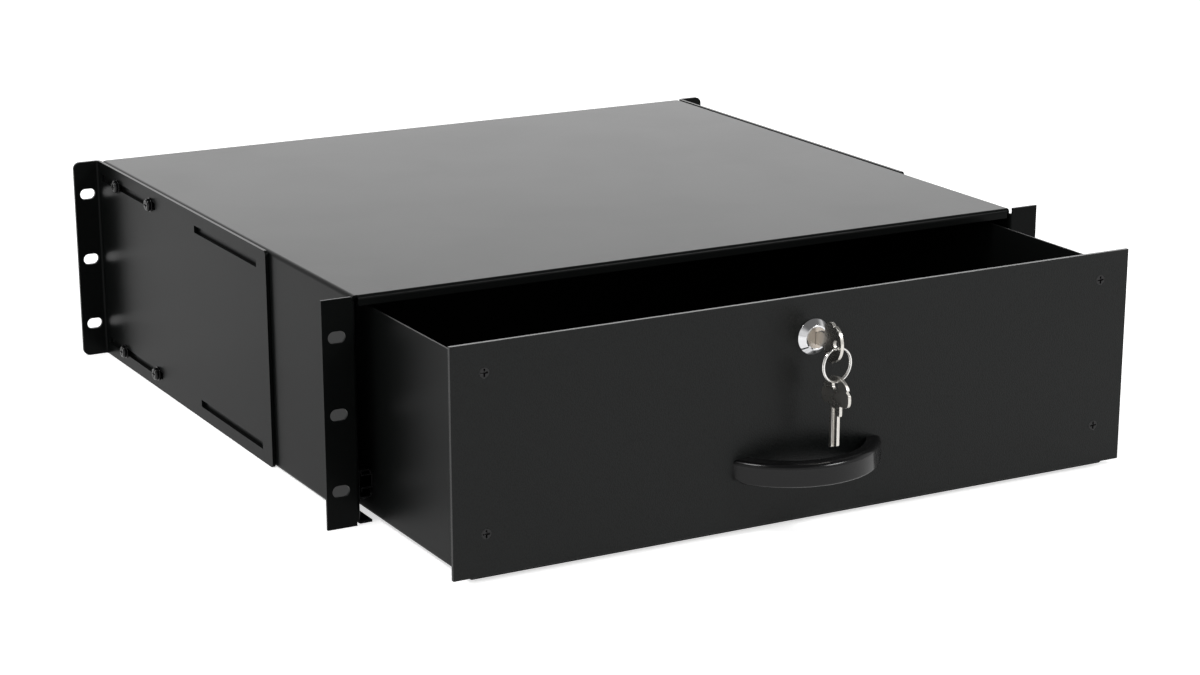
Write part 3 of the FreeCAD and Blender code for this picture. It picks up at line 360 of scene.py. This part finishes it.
# %% Soft edges on every sheet and fastener
SOFT_EDGES = {
    "housing_shell": 0.25, "lock_strike": 0.25,
    "rear_bracket_right": 0.3, "rear_bracket_left": 0.3,
    "drawer_tray": 0.2, "drawer_back": 0.2, "face_angles": 0.2, "face_plate": 0.15,
    "clamp_washers_right": 0.12, "clamp_washers_left": 0.12,
    "clamp_screws_right": 0.12, "clamp_screws_left": 0.12,
    "clamp_nuts_right": 0.15, "clamp_nuts_left": 0.15,
    "case_runner_right": 0.1, "case_runner_left": 0.1,
    "drawer_runner_right": 0.1, "drawer_runner_left": 0.1,
    "face_screws": 0.4, "face_nuts": 0.12, "handle_washers": 0.1,
    "lock_body": 0.15, "lock_nut": 0.2, "lock_plug": 0.1, "lock_cam": 0.2,
    "key_in_lock": 0.25, "spare_key": 0.25,
}
for node, width in SOFT_EDGES.items():
    dressed = stands_for(softened(node, width * MM), node, FINISHES[SLOT_OF[node]])
    print(f"{node:22s} {len(dressed.data.polygons):6d} faces before its edges are rounded")

# %% [markdown]
# ## The handle
# A moulded handle has no flat strips: its front is one arc from foot to foot, the gap for
# the fingers is another, and the tool's parting edges are generously rounded.  We draw
# the crescent with two spins, pull it up to its height, round its lower corners at the
# feet, and bevel the rims.

# %% The bow handle
FOOT, BOW = 10 * MM, 8 * MM              # width of a foot, thickness in the middle
TOP_RIM, LOW_RIM, RIM_STEPS = 3.6 * MM, 1.8 * MM, 6
SOFT_RIM, SOFT_RIM_STEPS = 0.6 * MM, 3   # all other edges
FOOT_ROUND = 4.5 * MM                    # lower corners of the feet
ARC_STEPS = 64
LEVEL, CLOSE = 1.5 * MM, 0.1 * MM        # how an edge is told to lie level, or on an arc


def arc_through(half, deep):
    """Radius of the arc that spans twice half and rises by deep, and its half angle."""
    radius = (half ** 2 + deep ** 2) / (2 * deep)
    return radius, math.asin(half / radius)


def corners(geometry):
    """Only the vertices out of what an operator returned."""
    return [each for each in geometry if isinstance(each, bmesh.types.BMVert)]


def bow_handle():
    low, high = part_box("pull_handle")
    half, reach = (high.x - low.x) / 2, high.y - low.y
    back = high.y
    outer, outer_turn = arc_through(half, reach)
    inner, inner_turn = arc_through(half - FOOT, reach - BOW)
    shape = bmesh.new()
    start = bmesh.ops.create_vert(shape, co=(-half, back, low.z))["vert"]
    arc = bmesh.ops.spin(shape, geom=start, cent=(0, back - reach + outer, low.z),
                         axis=(0, 0, 1), angle=2 * outer_turn, steps=ARC_STEPS)
    tip = corners(arc["geom_last"])
    foot = bmesh.ops.extrude_vert_indiv(shape, verts=tip)["verts"]
    bmesh.ops.translate(shape, verts=foot, vec=(-FOOT, 0, 0))
    arc = bmesh.ops.spin(shape, geom=foot, cent=(0, back - reach + BOW + inner, low.z),
                         axis=(0, 0, 1), angle=-2 * inner_turn, steps=ARC_STEPS)
    tip = corners(arc["geom_last"])
    bmesh.ops.contextual_create(shape, geom=tip + start)
    bmesh.ops.contextual_create(shape, geom=shape.edges[:])
    grown = bmesh.ops.extrude_face_region(shape, geom=shape.faces[:])["geom"]
    bmesh.ops.translate(shape, vec=(0, 0, high.z - low.z), verts=corners(grown))
    bmesh.ops.recalc_face_normals(shape, faces=shape.faces)
    middle = (low.z + high.z) / 2
    for vert in shape.verts:
        past = abs(vert.co.x) - (half - FOOT_ROUND)
        if past > 0 and vert.co.z < middle:
            vert.co.z += FOOT_ROUND - math.sqrt(max(FOOT_ROUND ** 2 - past ** 2, 0))
    outline = [edge for edge in shape.edges if edge.is_contiguous
               and abs(edge.verts[0].co.z - edge.verts[1].co.z) < LEVEL
               and min(vert.co.y for vert in edge.verts) < back - CLOSE]
    front = [edge for edge in outline if all(
        (vert.co.xy - Vector((0, back - reach + outer))).length > outer - CLOSE
        for vert in edge.verts)]
    upper = [edge for edge in front if edge.verts[0].co.z > middle]
    lower = [edge for edge in front if edge.verts[0].co.z < middle]
    for rim, offset in ((upper, TOP_RIM), (lower, LOW_RIM)):
        bmesh.ops.bevel(shape, geom=rim, offset=offset, segments=RIM_STEPS, profile=0.5,
                        material=-1, affect="EDGES", clamp_overlap=True)
    piece = as_object(shape, "bow_handle")
    piece.data.shade_smooth()
    soft = piece.modifiers.new("soft_edges", "BEVEL")
    soft.limit_method, soft.angle_limit = "ANGLE", SHARP
    soft.width, soft.segments = SOFT_RIM, SOFT_RIM_STEPS
    even = piece.modifiers.new("even_normals", "WEIGHTED_NORMAL")
    even.keep_sharp = True
    return piece


handle = stands_for(bow_handle(), "pull_handle", handle_plastic)
print("handle:", len(handle.data.polygons), "faces")

# %% [markdown]
# ## The key ring
# A split ring is one spring wire wound twice round.  A circle spun with a small step
# along its axis makes that coil, and its two ends are closed afterwards.

# %% The split ring
WIRE, WIRE_SIDES = 1.1 * MM, 14
RING_TURN = math.radians(8)      # about the vertical, as it hangs
RING_ROLL = 2.2                  # radians, where in the circle the wire's ends lie
COIL_TURNS, COIL_STEPS = 1.94, 190
COIL_PITCH = 0.98 * MM


def split_ring():
    low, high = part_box("key_ring")
    radius = (high.z - low.z - WIRE) / 2
    shape = bmesh.new()
    upright = Matrix.Translation((radius, 0, 0)) @ Matrix.Rotation(math.pi / 2, 4, "X")
    wire = bmesh.ops.create_circle(shape, segments=WIRE_SIDES, radius=WIRE / 2, matrix=upright)
    length = COIL_TURNS * COIL_PITCH
    bmesh.ops.spin(shape, geom=shape.edges[:] + wire["verts"], cent=(0, 0, 0), axis=(0, 0, 1),
                   angle=COIL_TURNS * 2 * math.pi, steps=COIL_STEPS,
                   dvec=(0, 0, length / COIL_STEPS))
    bmesh.ops.holes_fill(shape, edges=[edge for edge in shape.edges if edge.is_boundary])
    bmesh.ops.recalc_face_normals(shape, faces=shape.faces)
    bmesh.ops.translate(shape, verts=shape.verts, vec=(0, 0, -length / 2))
    bmesh.ops.transform(shape, verts=shape.verts, matrix=Matrix.Translation(
        (low + high) / 2) @ Matrix.Rotation(RING_TURN, 4, "Z") @ Matrix.Rotation(
        math.pi / 2, 4, "X") @ Matrix.Rotation(RING_ROLL, 4, "Z"))
    piece = as_object(shape, "split_ring")
    piece.data.shade_smooth()
    return piece


ring_piece = stands_for(split_ring(), "key_ring", ring_steel)
print("ring:", len(ring_piece.data.polygons), "faces")

# %% [markdown]
# ## The studio
# The drawer stands on a pale floor in soft light.  The world is white at the horizon and
# dark overhead, like a room with white walls and a dark ceiling, which is what gives
# polished metal its contrast.  The floor's own glow shows only to the camera and in
# reflections, so it whitens the background without lighting the drawer.

# %% Floor
FLOOR_SIZE, FLOOR_GREY, FLOOR_GLOW = 30.0, 0.82, 0.62
low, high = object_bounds()
floor_shape = bmesh.new()
bmesh.ops.create_grid(floor_shape, x_segments=1, y_segments=1, size=FLOOR_SIZE,
                      matrix=Matrix.Translation((0, 0, low.z)))
floor = as_object(floor_shape, "studio_floor")
floor_finish = bpy.data.materials.new("floor_finish")
floor_finish.use_nodes = True
tree = floor_finish.node_tree
tree.nodes.clear()
path = tree.nodes.new("ShaderNodeLightPath")
seen = step(tree, "ShaderNodeMath", {"operation": "MAXIMUM"},
            i0=path.outputs["Is Camera Ray"], i1=path.outputs["Is Glossy Ray"])
seen = step(tree, "ShaderNodeMath", {"operation": "MAXIMUM"},
            i0=seen.outputs[0], i1=path.outputs["Is Transmission Ray"])
glow = step(tree, "ShaderNodeMath", {"operation": "MULTIPLY"}, i0=seen.outputs[0],
            i1=FLOOR_GLOW)
lit = step(tree, "ShaderNodeBsdfDiffuse", Color=(FLOOR_GREY, FLOOR_GREY, FLOOR_GREY, 1))
own = step(tree, "ShaderNodeEmission", Color=(1, 1, 1, 1), Strength=glow.outputs[0])
both = step(tree, "ShaderNodeAddShader", i0=lit.outputs[0], i1=own.outputs[0])
step(tree, "ShaderNodeOutputMaterial", Surface=both.outputs[0])
floor.data.materials.append(floor_finish)

# %% World
WALLS, CEILING = 1.0, 0.2               # brightness at the horizon and overhead
WALLS_END, CEILING_START = 0.35, 0.75   # heights on a unit sphere
world = bpy.data.worlds.new("studio_world")
bpy.context.scene.world = world
world.use_nodes = True
tree = world.node_tree
direction = tree.nodes.new("ShaderNodeTexCoord").outputs["Generated"]
height = step(tree, "ShaderNodeSeparateXYZ", Vector=direction).outputs["Z"]
level = step(tree, "ShaderNodeMapRange", {"interpolation_type": "SMOOTHSTEP"}, Value=height,
             From_Min=WALLS_END, From_Max=CEILING_START, To_Min=WALLS, To_Max=CEILING)
tree.nodes["Background"].inputs["Color"].default_value = (1, 1, 1, 1)
tree.links.new(level.outputs[0], tree.nodes["Background"].inputs["Strength"])

# %% Lamps
def softbox(name, place, target, size, power):
    lamp = bpy.data.lights.new(name, "AREA")
    lamp.shape, lamp.size, lamp.size_y = "RECTANGLE", *size
    lamp.energy = power
    thing = bpy.data.objects.new(name, lamp)
    thing.location = place
    thing.rotation_euler = (Vector(target) - Vector(place)).to_track_quat("-Z", "Y").to_euler()
    thing.visible_camera = False
    bpy.context.scene.collection.objects.link(thing)
    return thing


softbox("left_softbox", (-1.15, -0.15, 1.75), (0, 0, 0), (0.6, 0.35), 16.0)
softbox("front_softbox", (1.15, -1.45, 1.4), (0, 0, 0), (0.8, 0.4), 20.0)
softbox("back_softbox", (1.15, 2.9, 0.9), (0, 0.15, 0.05), (3.2, 1.5), 22.5)

# %% Camera
CAMERA_PLACE = (-0.8396, -1.4084, 0.46685)
LOOKS_DOWN, LOOKS_RIGHT = 17.50, 28.98   # degrees
SENSOR, LENS = 36.0, 86.69               # millimetres
bpy.context.scene.view_settings.view_transform = "Standard"
camera_data = bpy.data.cameras.new("camera")
camera = bpy.data.objects.new("camera", camera_data)
bpy.context.scene.collection.objects.link(camera)
bpy.context.scene.camera = camera
camera.location = CAMERA_PLACE
camera.rotation_euler = (math.radians(90 - LOOKS_DOWN), 0, math.radians(-LOOKS_RIGHT))
camera_data.sensor_width, camera_data.lens = SENSOR, LENS
camera_data.shift_x = -0.0108
camera_data.shift_y = 0.0854
